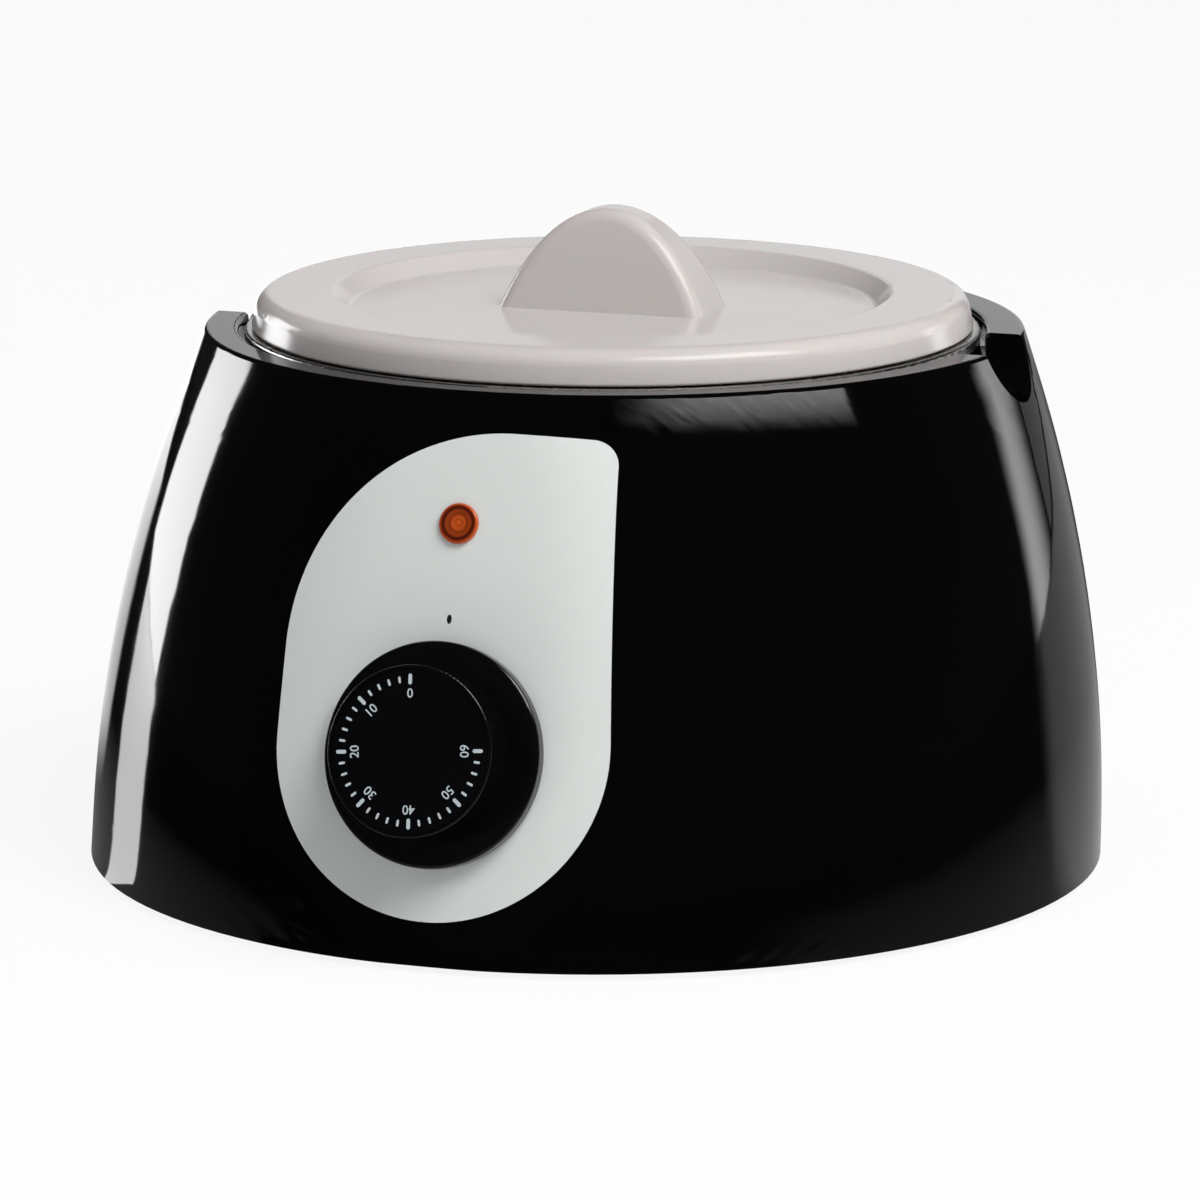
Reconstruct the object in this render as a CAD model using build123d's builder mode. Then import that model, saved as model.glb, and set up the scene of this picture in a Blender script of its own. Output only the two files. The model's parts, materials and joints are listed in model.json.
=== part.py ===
"""Small round chocolate melter: a black moulded housing, a lift-out pan and lid, and a dial thermostat.

Millimetres. +Z is up, the control panel faces -Y, and the origin is under the centre of the base.
Heights called h are counted from the housing's lower edge, which stands foot_gap above the table.
"""

from build123d import *
from math import atan2, cos, degrees, radians, sin, sqrt, tan
import os

os.makedirs("parts", exist_ok=True)

# Housing
foot_gap = 1.5
under_space = 37.0
flare = 23.5
rim_band = 8.3
rim_setback = 13.5
edge_flat = 0.4
waist_flat = 4.0
panel_radius = 600.0
corner_radius = 70.0
section_count = 5
wall = 3.0
rim_round = 1.2

# Pan opening and finger notches
pan_y = 12.0
pan_side_gap = 1.4
seat_gap = 0.3
collar_gap = 1.2
notch_radius = 15.2
notch_depth = 13.0
notch_inner_reach = 75.0

# Pan
pan_radius = 82.6
pan_taper = 7.6
pan_depth = 86.0
pan_corner = 14.0
pan_sheet = 1.0
pan_flange_width = 4.2
pan_flange_drop = 0.2
pan_lip = 2.6

# Heated well around the pan
well_gap = 1.0
well_floor_gap = 0.8
well_sheet = 2.0
well_flange_width = 7.2
well_screw_inset = 3.6
well_screw_count = 4
gasket_thickness = 1.5
gasket_inset = 0.4

# Heater band
band_rise = 16.5
band_height = 34.0
band_thickness = 2.4
band_bedding = 0.05
band_gap_angle = 16.0
band_cap_angle = 150.0
band_cap_width = 22.0
band_cap_height = 14.0
band_cap_thickness = 7.0
band_cap_round = 2.0

# Lid
lid_inset = 1.6
lid_taper = 1.6
lid_height = 8.2
lid_sheet = 2.4
lid_edge_round = 4.6
lid_lip_round = 0.6
lid_gap = 0.3
lid_border = 17.6
recess_slope = 4.0
recess_depth = 4.0
recess_round = 1.2
lid_spigot_gap = 1.0
lid_spigot_depth = 4.5
lid_spigot_wall = 1.8
fin_half_length = 25.2
fin_height = 23.6
fin_foot_thickness = 22.0
fin_top_thickness = 11.0
fin_round = 3.2
fin_sink = 1.2

# Label on the front panel, measured from the knob's centre
label_thickness = 0.3
label_bedding = 0.02
label_low_radius = 39.3
label_low_centre = 2.3
label_big_radius = 50.0
label_top = 72.6
label_lean = 4.6
label_corner = 6.0
label_hole_radius = 19.0
label_reach = 15.0

# Knob, dial and thermostat
knob_height = 45.4
knob_gap = 0.9
skirt_radius = 25.3
skirt_thickness = 3.4
skirt_edge = 0.9
cap_radius = 19.1
cap_root_radius = 18.4
knob_length = 18.2
knob_wall = 2.0
hub_radius = 5.6
cap_edge = 0.3
dial_radius = 18.2
dial_thickness = 0.8
dial_sink = 0.25
dial_fit = 0.15
shaft_radius = 3.0
shaft_fit = 0.02
shaft_running = 0.06
shaft_flat = 1.0
shaft_tip_gap = 2.0
shaft_end_play = 0.2
shaft_hole_radius = 3.9
pad_radius = 23.0
pad_thickness = 4.2
bridge_width = 36.0
bridge_height = 24.0
bridge_sheet = 1.2
bridge_screw_spacing = 28.0
thermostat_width = 34.0
thermostat_height = 30.0
thermostat_depth = 19.0
thermostat_corner = 3.0
thermostat_bearing_depth = 6.0
capsule_radius = 10.0
capsule_length = 3.4
capsule_drop = 6.0
tab_width = 6.3
tab_sheet = 0.8
tab_length = 8.0
tab_spacing = 14.0
tab_rise = 9.0
bridge_screw_radius = 1.95
bridge_screw_head = 3.6
bridge_screw_head_height = 0.9
bridge_screw_seat = 0.4
bridge_screw_tip = 1.0
screw_fit = 0.03
hole_clearance = 0.3

# Pilot lamp
lamp_rise = 49.4
lamp_radius = 4.6
lamp_proud = 1.1
lamp_barrel_radius = 3.8
lamp_barrel_length = 12.0
lamp_wall = 0.9
lamp_fit = 0.1
bulb_radius = 1.6
bulb_length = 8.0
bulb_socket = 1.5
holder_radius = 4.6
holder_length = 9.0
holder_overlap = 5.0
lamp_nut_radius = 7.5
lamp_nut_thickness = 1.0
lamp_pad_radius = 9.0
lamp_pad_thickness = 3.6

# Base plate, feet and screws
plate_thickness = 2.5
plate_inset = 2.0
plate_fit = 0.7
base_boss_radius = 5.5
base_boss_inset = 4.5
base_boss_top = 30.0
foot_radius = 9.0
foot_inset = 28.0
foot_stem_radius = 3.0
foot_barb_radius = 3.9
foot_barb_height = 2.0
foot_edge = 1.0
vent_length = 24.0
vent_width = 3.0
vent_count = 5
vent_pitch = 7.0
vent_y = 45.0
screw_radius = 1.9
screw_head_radius = 3.4
screw_head_height = 1.8
screw_length = 12.0

# Cord gland
gland_height = 27.0
gland_sink = 4.8
gland_pocket_radius = 14.5
gland_thread_radius = 7.9
gland_bore_radius = 4.0
gland_hex = 22.0
gland_collar = 4.5
gland_thread_length = 9.5
gland_outer_thread = 5.0
gland_nut_length = 10.5
gland_nut_bore = 3.9
gland_nut_round = 3.0
gland_seal_length = 4.0
gland_seal_radius = 6.2
gland_lock_hex = 21.0
gland_lock_thickness = 4.5
gland_fit = 0.1

# Sensor, cut-out and terminals under the well
bulb_probe_radius = 3.0
bulb_probe_length = 64.0
bulb_probe_y = -20.0
probe_seat_gap = 0.1
clip_width = 10.0
clip_sheet = 0.8
clip_reach = 10.0
earth_x = 46.0
earth_tag_radius = 3.6
earth_tag_reach = 7.0
cutout_y = 30.0
cutout_radius = 7.0
cutout_height = 7.0
cutout_flange_length = 30.0
cutout_flange_width = 10.0
cutout_screw_spacing = 23.0
small_screw_radius = 1.45
small_screw_head = 2.8
small_screw_head_height = 1.6
small_screw_length = 5.0
well_boss_radius = 4.0
well_boss_height = 4.0
block_x = 34.0
block_inset = 48.0
block_length = 26.0
block_flange_length = 40.0
block_flange_height = 3.0
block_pitch = 8.0
block_width = 20.0
block_height = 16.0
block_poles = 3
block_bore = 2.4
block_screw_spacing = 32.0
capillary_radius = 1.0
capillary_bend = 30.0

# Leads
lead_radius = 1.2
lamp_lead_radius = 0.8
lead_grip = 5.0
lead_rise = 6.0
lead_bend = 12.0
lamp_lead_bend = 5.0
lead_play = 0.15

# Places worked out from the sizes above
pan_bottom_radius = pan_radius - pan_taper
pan_flange_radius = pan_radius + pan_flange_width
opening_radius = pan_flange_radius + pan_side_gap
rim_radius = opening_radius + rim_band
base_radius = rim_radius + flare
housing_height = pan_depth + under_space
rim_z = foot_gap + housing_height
pan_flange_z = rim_z - pan_flange_drop
ledge_depth = pan_flange_drop + pan_lip + seat_gap
collar_radius = pan_radius + collar_gap
collar_bottom_z = rim_z - notch_depth - wall
gasket_bottom_z = collar_bottom_z - gasket_thickness
pan_bottom_z = pan_flange_z - pan_depth
well_floor_z = pan_bottom_z - well_floor_gap
well_top_z = gasket_bottom_z
well_bottom_z = well_floor_z - well_sheet
well_flange_radius = collar_radius + wall + well_flange_width
well_screw_circle = well_flange_radius - well_screw_inset
band_bottom = well_bottom_z + band_rise
band_top = band_bottom + band_height
lid_radius = pan_flange_radius - lid_inset
lid_top_radius = lid_radius - lid_taper
lid_spigot_radius = pan_radius - pan_sheet - lid_spigot_gap
recess_radius = lid_top_radius - lid_border
recess_floor_radius = recess_radius - recess_slope
lid_edge_z = pan_flange_z + lid_gap
lid_top_z = lid_edge_z + lid_height
lid_floor_z = lid_top_z - recess_depth
plate_bottom_z = foot_gap + plate_inset
plate_top_z = plate_bottom_z + plate_thickness
lamp_height = knob_height + lamp_rise
foot_circle = base_radius - foot_inset
block_y = base_radius - block_inset
pan_axis = Axis((0, pan_y, 0), (0, 0, 1))
pan_plane = Plane(origin=(0, pan_y, 0), x_dir=(1, 0, 0), z_dir=(0, -1, 0))


def body_radius(h):
    """Radius of the housing's round part, which closes in as a parabola towards the rim."""
    return base_radius - (base_radius - rim_radius) * (h / housing_height) ** 2


def body_centre(h):
    """The round part's centre moves back as it rises."""
    return rim_setback * h / housing_height


def body_flat(h):
    """Depth of the flattened front, greatest at half height."""
    share = h / housing_height
    return edge_flat + 4 * (waist_flat - edge_flat) * share * (1 - share)


def front_y(h):
    """Front of the housing on its centre line."""
    return body_centre(h) - body_radius(h) + body_flat(h)


def panel_plane(h):
    """Plane that touches the front at a height: its normal points out, its y up the panel."""
    step = 0.5
    lean = atan2(front_y(h + step) - front_y(h - step), 2 * step)
    return Plane(origin=(0, front_y(h), foot_gap + h), x_dir=(1, 0, 0), z_dir=(0, -cos(lean), sin(lean)))


def section_outline(h, grow=0.0):
    """Outline of the housing at a height: a circle with a flatter front arc and two blending arcs."""
    centre_y = body_centre(h)
    radius = body_radius(h)
    panel_centre_y = front_y(h) + panel_radius
    round_reach = radius - corner_radius
    panel_reach = panel_radius - corner_radius
    apart = panel_centre_y - centre_y
    corner_rise = (apart**2 - panel_reach**2 + round_reach**2) / (2 * apart)
    corner_x = sqrt(round_reach**2 - corner_rise**2)
    corner_y = centre_y + corner_rise
    side = degrees(atan2(corner_rise, corner_x))
    front = degrees(atan2(corner_y - panel_centre_y, corner_x))
    with BuildSketch() as outline:
        with BuildLine():
            CenterArc((0, centre_y), radius + grow, side, 90 - side)
            CenterArc((0, centre_y), radius + grow, 90, 90 - side)
            CenterArc((-corner_x, corner_y), corner_radius + grow, 180 - side, side - front)
            CenterArc((0, panel_centre_y), panel_radius + grow, 180 - front, 180 + 2 * front)
            CenterArc((corner_x, corner_y), corner_radius + grow, front, side - front)
        make_face()
    return outline.sketch


def body_form(grow, top):
    """The housing's outer form, or one parallel to it, up to a height."""
    with BuildPart() as form:
        for step in range(section_count):
            h = top * step / (section_count - 1)
            with BuildSketch(Plane.XY.offset(foot_gap + h)):
                add(section_outline(h, grow))
        loft()
    return form.part


def pan_wall_radius(z):
    """Outside radius of the pan's tapered wall."""
    share = (z - pan_bottom_z) / pan_depth
    return pan_bottom_radius + (pan_radius - pan_bottom_radius) * share


def well_radius(z):
    """Outside radius of the heated well, which keeps one gap to the pan's wall."""
    return pan_wall_radius(z) + well_gap + well_sheet


def polar(radius, angle, centre_y=0.0):
    """Point on a circle round the centre line."""
    return (radius * cos(radians(angle)), centre_y + radius * sin(radians(angle)))


def radial_plane(radius, angle, z):
    """Upright plane that faces away from the pan's axis."""
    x, y = polar(radius, angle, pan_y)
    tangent = (-sin(radians(angle)), cos(radians(angle)), 0)
    return Plane(origin=(x, y, z), x_dir=tangent, z_dir=(cos(radians(angle)), sin(radians(angle)), 0))


def rims_at(builder, z):
    """Round edges that lie level at a height, smallest first."""
    level_edges = builder.edges().filter_by(GeomType.CIRCLE).filter_by_position(Axis.Z, z - 0.001, z + 0.001)
    return level_edges.sort_by(SortBy.RADIUS)


def dish_outline(bottom_radius, top_radius, bottom_z, top_z, sheet, corner):
    """Half section of a round dish with a tapered wall and a rounded bottom edge."""
    with BuildSketch() as outline:
        with BuildLine():
            Polyline(
                (0, bottom_z),
                (bottom_radius, bottom_z),
                (top_radius, top_z),
                (top_radius - sheet, top_z),
                (bottom_radius - sheet, bottom_z + sheet),
                (0, bottom_z + sheet),
                close=True,
            )
        make_face()
        fillet(outline.vertices().sort_by_distance((bottom_radius, bottom_z))[0], corner)
        inner_corner = (bottom_radius - sheet, bottom_z + sheet)
        fillet(outline.vertices().sort_by_distance(inner_corner)[0], corner - sheet)
    return outline.sketch


def shaft_section(fit):
    """Section of the thermostat's shaft, or of the bore that grips it: a circle with one flat."""
    with BuildSketch() as section:
        Circle(shaft_radius + fit)
        with Locations((0, shaft_radius - shaft_flat + fit)):
            Rectangle(4 * shaft_radius, 2 * shaft_radius, align=(Align.CENTER, Align.MIN), mode=Mode.SUBTRACT)
    return section.sketch


def small_screws(places, seat_z, side):
    """Group of small screws whose heads stand on one side of a level seat."""
    with BuildPart() as group:
        with BuildSketch(Plane.XY.offset(seat_z)):
            with Locations(*places):
                Circle(small_screw_radius)
        extrude(amount=-side * small_screw_length)
        with BuildSketch(Plane.XY.offset(seat_z)):
            with Locations(*places):
                Circle(small_screw_head)
        extrude(amount=side * small_screw_head_height)
        fillet(rims_at(group, seat_z + side * small_screw_head_height), small_screw_head_height / 3)
    return group.part


def wire(start, start_way, end, end_way, turns, radius, bend):
    """Round wire along one smooth curve that leaves and arrives in set directions."""
    with BuildPart() as run:
        with BuildLine() as path:
            Bezier(start, start + start_way * bend, *turns, end - end_way * bend, end)
        with BuildSketch(Plane(origin=start, z_dir=start_way)):
            Circle(radius)
        sweep(path=path.line, is_frenet=True)
    return run.part


def label_outline():
    """Outline of the front label round the knob's centre, with the hole that clears the knob's screws."""
    lean = radians(label_lean)
    lean_x = label_low_radius * cos(lean)
    lean_y = label_low_centre + label_low_radius * sin(lean)
    top_x = lean_x - (label_top - lean_y) * tan(lean)
    big_centre = (label_big_radius - label_low_radius, label_top - label_big_radius)
    with BuildSketch() as outline:
        with BuildLine():
            CenterArc((0, label_low_centre), label_low_radius, 180, 180 + label_lean)
            Line((lean_x, lean_y), (top_x, label_top))
            Line((top_x, label_top), (big_centre[0], label_top))
            CenterArc(big_centre, label_big_radius, 90, 90)
            Line((-label_low_radius, big_centre[1]), (-label_low_radius, label_low_centre))
        make_face()
        fillet(outline.vertices().sort_by_distance((top_x, label_top))[0], label_corner)
        Circle(label_hole_radius, mode=Mode.SUBTRACT)
    return outline.sketch


def fin_form(inset):
    """The lid's finger fin, or its hollow: an arch that thins towards the top."""
    reach = fin_half_length - inset
    rise = fin_height - inset
    foot = fin_foot_thickness / 2 - inset
    top = fin_top_thickness / 2 - inset
    sink = fin_sink + inset
    foot_reach = reach + sink * reach * 3 / (8 * rise)
    low = foot + sink * (foot - top) / fin_height
    with BuildPart() as form:
        with BuildSketch(pan_plane):
            with BuildLine():
                Bezier(
                    (-reach, lid_floor_z),
                    (-reach / 2, lid_floor_z + rise * 4 / 3),
                    (reach / 2, lid_floor_z + rise * 4 / 3),
                    (reach, lid_floor_z),
                )
                Polyline(
                    (reach, lid_floor_z),
                    (foot_reach, lid_floor_z - sink),
                    (-foot_reach, lid_floor_z - sink),
                    (-reach, lid_floor_z),
                )
            make_face()
        extrude(amount=fin_foot_thickness, both=True)
        with BuildSketch(Plane(origin=(0, pan_y, 0), x_dir=(0, 1, 0), z_dir=(1, 0, 0))):
            with BuildLine():
                Polyline(
                    (-low, lid_floor_z - sink),
                    (-top, lid_floor_z + fin_height),
                    (top, lid_floor_z + fin_height),
                    (low, lid_floor_z - sink),
                    close=True,
                )
            make_face()
        extrude(amount=2 * fin_half_length, both=True, mode=Mode.INTERSECT)
        if inset == 0:
            above = form.edges().filter_by_position(Axis.Z, lid_floor_z - sink / 2, rim_z + base_radius)
            fillet(above.filter_by(Axis.Y, reverse=True), fin_round)
    return form.part


knob_plane = panel_plane(knob_height)
lamp_plane = panel_plane(lamp_height)
knob_axis = Axis(knob_plane.origin, knob_plane.z_dir)
well_screw_places = [polar(well_screw_circle, 45 + 90 * n, pan_y) for n in range(well_screw_count)]
base_boss_circle = body_radius(base_boss_top) - wall - base_boss_inset
base_screw_places = [polar(base_boss_circle, 45 + 90 * n, body_centre(base_boss_top)) for n in range(4)]
foot_places = [polar(foot_circle, 45 + 90 * n) for n in range(4)]
band_start = radians(90 + band_gap_angle / 2)
band_plane = Plane(
    origin=(0, pan_y, 0), x_dir=(cos(band_start), sin(band_start), 0), z_dir=(sin(band_start), -cos(band_start), 0)
)
cap_plane = radial_plane(
    well_radius(band_bottom + band_height / 2) + band_thickness / 2, band_cap_angle, band_bottom + band_height / 2
)
knob_section_plane = Plane(origin=knob_plane.origin, x_dir=(1, 0, 0), z_dir=-knob_plane.y_dir)
lamp_axis = Axis(lamp_plane.origin, lamp_plane.z_dir)
skirt_front = knob_gap + skirt_thickness
dial_seat = knob_length - dial_thickness - dial_sink
skirt_corner = (skirt_radius, skirt_front)
cap_corner = (cap_radius, knob_length)
thermostat_front = pad_thickness + bridge_sheet
lamp_seat = label_bedding + label_thickness
lamp_end = lamp_seat - lamp_barrel_length
probe_y = pan_y + bulb_probe_y
probe_z = well_bottom_z - probe_seat_gap - bulb_probe_radius
clip_seat_z = well_bottom_z - well_boss_height
capsule_plane = knob_plane.offset(-thermostat_front - thermostat_depth - capsule_length)
tube_start = capsule_plane.from_local_coords((0, -capsule_drop, 0))
tube_out = knob_plane.z_dir * -capillary_bend
tube_end = Vector(-bulb_probe_length / 2, probe_y, probe_z)
tube_in = Vector(2 * capillary_bend, 0, 0)
tab_plane = knob_plane.offset(-thermostat_front - thermostat_depth - tab_length)
tab_tips = [tab_plane.from_local_coords((side * tab_spacing / 2, tab_rise, 0)) for side in (1, -1)]
cutout_tip_z = well_bottom_z - cutout_height - tab_length
cutout_tips = [Vector(side * cutout_radius / 2, pan_y + cutout_y, cutout_tip_z) for side in (1, -1)]
cap_tips = [
    cap_plane.from_local_coords((side * band_cap_width / 4, -band_cap_height / 2, band_cap_thickness / 2))
    for side in (1, -1)
]
pole_y = block_y - block_width / 2 + lead_grip
pole_z = plate_top_z + block_height / 2
pole_tips = [Vector(block_x + step * block_pitch, pole_y, pole_z) for step in (-1, 0, 1)]
lead_z = plate_top_z + lead_rise
lead_front_y = -base_radius / 2
earth_tip = Vector(earth_x, pan_y + cutout_y + earth_tag_reach - lead_radius, clip_seat_z - clip_sheet)
lamp_tips = [
    lamp_plane.from_local_coords((side * holder_radius, 0, lamp_end - (holder_length - holder_overlap) / 2))
    for side in (1, -1)
]
lamp_pole_tip = pole_tips[0] + Vector(block_bore - lamp_lead_radius - lead_play, 0, 0)
lamp_tab_tip = tab_plane.from_local_coords((-(tab_spacing + tab_sheet) / 2, tab_rise, tab_length / 2))
neutral_tip = pole_tips[0] - Vector(block_bore - lead_radius - lead_play, 0, 0)
block_screw_places = [(block_x + side * block_screw_spacing / 2, block_y) for side in (1, -1)]
block_plane = Plane(
    origin=(block_x, block_y, plate_top_z + block_height / 2), x_dir=(1, 0, 0), z_dir=(0, -1, 0)
)
cutout_places = [(x, pan_y + cutout_y) for x in (-cutout_screw_spacing / 2, cutout_screw_spacing / 2)]
clip_places = [(0, probe_y + side * clip_reach) for side in (1, -1)]
earth_place = (earth_x, pan_y + cutout_y)
well_boss_places = [*cutout_places, *clip_places, earth_place]
gland_seat_y = body_centre(gland_height) + body_radius(gland_height) - gland_sink
gland_plane = Plane(origin=(0, gland_seat_y, foot_gap + gland_height), x_dir=(-1, 0, 0), z_dir=(0, 1, 0))
notch_plane = Plane(
    origin=(0, rim_setback, rim_z - notch_depth + notch_radius), x_dir=(0, 1, 0), z_dir=(1, 0, 0)
)

body = body_form(0, housing_height)
cavity = body_form(-wall, housing_height - wall)

# Hollow inside the housing, less the ribs, bosses and pads that stay solid
with BuildPart() as hollow:
    add(cavity)
    with BuildSketch(Plane.XY.offset(collar_bottom_z)):
        with Locations((0, pan_y)):
            Circle(collar_radius + wall)
    extrude(amount=housing_height, mode=Mode.SUBTRACT)
    with BuildSketch(Plane.XY.offset(rim_z - ledge_depth - wall)):
        with Locations((0, pan_y)):
            Circle(opening_radius + wall)
    extrude(amount=housing_height, mode=Mode.SUBTRACT)
    for side in (1, -1):
        with BuildSketch(notch_plane.offset(side * notch_inner_reach)):
            Circle(notch_radius + wall)
        extrude(amount=side * base_radius, mode=Mode.SUBTRACT)
    with BuildSketch(Plane.XY.offset(gasket_bottom_z)):
        with Locations(*well_screw_places):
            Circle(well_boss_radius)
    extrude(amount=housing_height, mode=Mode.SUBTRACT)
    with BuildSketch(Plane.XY.offset(plate_top_z)):
        with Locations(*base_screw_places):
            Circle(base_boss_radius)
    extrude(amount=base_boss_top - plate_inset - plate_thickness, mode=Mode.SUBTRACT)
    with BuildSketch(gland_plane.offset(-wall)):
        Circle(gland_pocket_radius + wall)
    extrude(amount=base_radius, mode=Mode.SUBTRACT)
    with BuildSketch(knob_plane.offset(-pad_thickness)):
        Circle(pad_radius)
    extrude(amount=base_radius, mode=Mode.SUBTRACT)
    with BuildSketch(lamp_plane.offset(-lamp_pad_thickness)):
        Circle(lamp_pad_radius)
    extrude(amount=base_radius, mode=Mode.SUBTRACT)

# Housing: one moulded shell
with BuildPart() as housing:
    add(body)
    fillet(housing.faces().sort_by(Axis.Z)[-1].outer_wire().edges(), rim_round)
    with BuildSketch(Plane.XY.offset(rim_z)):
        with Locations((0, pan_y)):
            Circle(opening_radius)
    extrude(amount=-ledge_depth, mode=Mode.SUBTRACT)
    fillet(housing.faces().sort_by(Axis.Z)[-1].inner_wires().edges(), rim_round)
    with BuildSketch(Plane.XY.offset(rim_z)):
        with Locations((0, pan_y)):
            Circle(collar_radius)
    extrude(amount=-housing_height, mode=Mode.SUBTRACT)
    add(hollow.part, mode=Mode.SUBTRACT)
    for side in (1, -1):
        with BuildSketch(notch_plane.offset(side * notch_inner_reach)):
            Circle(notch_radius)
        extrude(amount=side * base_radius, mode=Mode.SUBTRACT)
    with BuildSketch(Plane.XY.offset(gasket_bottom_z)):
        with Locations(*well_screw_places):
            Circle(screw_radius + screw_fit)
    extrude(amount=screw_length, mode=Mode.SUBTRACT)
    with BuildSketch(Plane.XY.offset(plate_top_z)):
        with Locations(*base_screw_places):
            Circle(screw_radius + screw_fit)
    extrude(amount=screw_length, mode=Mode.SUBTRACT)
    with BuildSketch(gland_plane):
        Circle(gland_pocket_radius)
    extrude(amount=base_radius, mode=Mode.SUBTRACT)
    with BuildSketch(gland_plane):
        Circle(gland_thread_radius + gland_fit)
    extrude(amount=-2 * wall, mode=Mode.SUBTRACT)
    with BuildSketch(knob_plane.offset(wall)):
        Circle(shaft_hole_radius)
        with GridLocations(bridge_screw_spacing, 0, 2, 1):
            Circle(bridge_screw_radius + hole_clearance)
    extrude(amount=-3 * wall, mode=Mode.SUBTRACT)
    with BuildSketch(knob_plane.offset(-bridge_screw_seat)):
        with GridLocations(bridge_screw_spacing, 0, 2, 1):
            Circle(bridge_screw_head + hole_clearance)
    extrude(amount=wall, mode=Mode.SUBTRACT)
    with BuildSketch(lamp_plane.offset(wall)):
        Circle(lamp_barrel_radius + lamp_fit)
    extrude(amount=-3 * wall, mode=Mode.SUBTRACT)
housing.part.label = "housing"

# Pan: pressed stainless steel with a turned-down flange
with BuildPart() as pan:
    with BuildSketch(pan_plane):
        add(dish_outline(pan_bottom_radius, pan_radius, pan_bottom_z, pan_flange_z, pan_sheet, pan_corner))
        with Locations((pan_radius - pan_sheet, pan_flange_z)):
            Rectangle(pan_flange_radius - pan_radius + pan_sheet, pan_sheet, align=(Align.MIN, Align.MAX))
        with Locations((pan_flange_radius, pan_flange_z)):
            Rectangle(pan_sheet, pan_lip, align=(Align.MAX, Align.MAX))
    revolve(axis=pan_axis)
    fillet(rims_at(pan, pan_flange_z)[-1], pan_sheet * 0.9)
    fillet(rims_at(pan, pan_flange_z)[0], pan_sheet * 0.6)
pan.part.label = "pan"

# Lid: hollow moulding with a sunk centre, a spigot and a finger fin
with BuildPart() as lid:
    with BuildSketch(pan_plane) as lid_profile:
        with BuildLine():
            Polyline(
                (0, lid_floor_z - lid_sheet),
                (recess_floor_radius + lid_sheet, lid_floor_z - lid_sheet),
                (recess_radius + lid_sheet, lid_top_z - lid_sheet),
                (lid_top_radius - lid_sheet, lid_top_z - lid_sheet),
                (lid_radius - lid_sheet, lid_edge_z),
                (lid_radius, lid_edge_z),
                (lid_top_radius, lid_top_z),
                (recess_radius, lid_top_z),
                (recess_floor_radius, lid_floor_z),
                (0, lid_floor_z),
                close=True,
            )
        make_face()
        with Locations((lid_spigot_radius, lid_edge_z - lid_spigot_depth)):
            Rectangle(
                lid_spigot_wall,
                lid_height + lid_spigot_depth - lid_sheet / 2,
                align=(Align.MAX, Align.MIN),
            )
        corners = lid_profile.vertices()
        fillet(corners.sort_by_distance((lid_top_radius, lid_top_z))[0], lid_edge_round)
        for point in ((recess_radius, lid_top_z), (recess_floor_radius, lid_floor_z)):
            fillet(lid_profile.vertices().sort_by_distance(point)[0], recess_round)
        fillet(lid_profile.vertices().sort_by_distance((lid_radius, lid_edge_z))[0], lid_lip_round)
    revolve(axis=pan_axis)
    add(fin_form(0))
    add(fin_form(lid_sheet), mode=Mode.SUBTRACT)
lid.part.label = "lid"

# Well gasket between the housing's collar and the well
with BuildPart() as well_gasket:
    with BuildSketch(Plane.XY.offset(gasket_bottom_z)):
        with Locations((0, pan_y)):
            Circle(collar_radius + wall - gasket_inset)
            Circle(collar_radius + gasket_inset, mode=Mode.SUBTRACT)
    extrude(amount=gasket_thickness)
well_gasket.part.label = "well_gasket"

# Heated well: cast aluminium dish that the pan hangs in
with BuildPart() as heating_well:
    with BuildSketch(pan_plane):
        add(
            dish_outline(
                well_radius(well_bottom_z),
                well_radius(well_top_z),
                well_bottom_z,
                well_top_z,
                well_sheet,
                pan_corner + well_gap + well_sheet,
            )
        )
        with Locations((well_radius(well_top_z) - well_sheet / 2, well_top_z)):
            Rectangle(
                well_flange_radius - well_radius(well_top_z) + well_sheet / 2,
                well_sheet,
                align=(Align.MIN, Align.MAX),
            )
    revolve(axis=pan_axis)
    with BuildSketch(Plane.XY.offset(well_bottom_z)):
        with Locations(*well_boss_places):
            Circle(well_boss_radius)
    extrude(amount=-well_boss_height)
    with BuildSketch(Plane.XY.offset(well_bottom_z - well_boss_height)):
        with Locations(*well_boss_places):
            Circle(small_screw_radius + screw_fit)
    extrude(amount=small_screw_length, mode=Mode.SUBTRACT)
    with BuildSketch(Plane.XY.offset(well_top_z)):
        with Locations(*well_screw_places):
            Circle(screw_radius + hole_clearance)
    extrude(amount=-2 * well_sheet, mode=Mode.SUBTRACT)
heating_well.part.label = "heating_well"

# Heater band: a tapered ring on the well's wall, open at the back, with a terminal cap
with BuildPart() as heater_band:
    with BuildSketch(band_plane):
        with BuildLine():
            Polyline(
                (well_radius(band_bottom) + band_bedding, band_bottom),
                (well_radius(band_bottom) + band_thickness, band_bottom),
                (well_radius(band_top) + band_thickness, band_top),
                (well_radius(band_top) + band_bedding, band_top),
                close=True,
            )
        make_face()
    revolve(axis=pan_axis, revolution_arc=360 - band_gap_angle)
    with BuildSketch(cap_plane):
        RectangleRounded(band_cap_width, band_cap_height, band_cap_round)
    extrude(amount=band_cap_thickness)
heater_band.part.label = "heater_band"

# Screws that hold the well to the housing
with BuildPart() as well_screws:
    with BuildSketch(Plane.XY.offset(well_top_z - well_sheet)):
        with Locations(*well_screw_places):
            Circle(screw_radius)
    extrude(amount=screw_length)
    with BuildSketch(Plane.XY.offset(well_top_z - well_sheet)):
        with Locations(*well_screw_places):
            Circle(screw_head_radius)
    extrude(amount=-screw_head_height)
    fillet(rims_at(well_screws, well_top_z - well_sheet - screw_head_height), screw_head_height / 3)
well_screws.part.label = "well_screws"

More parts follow.
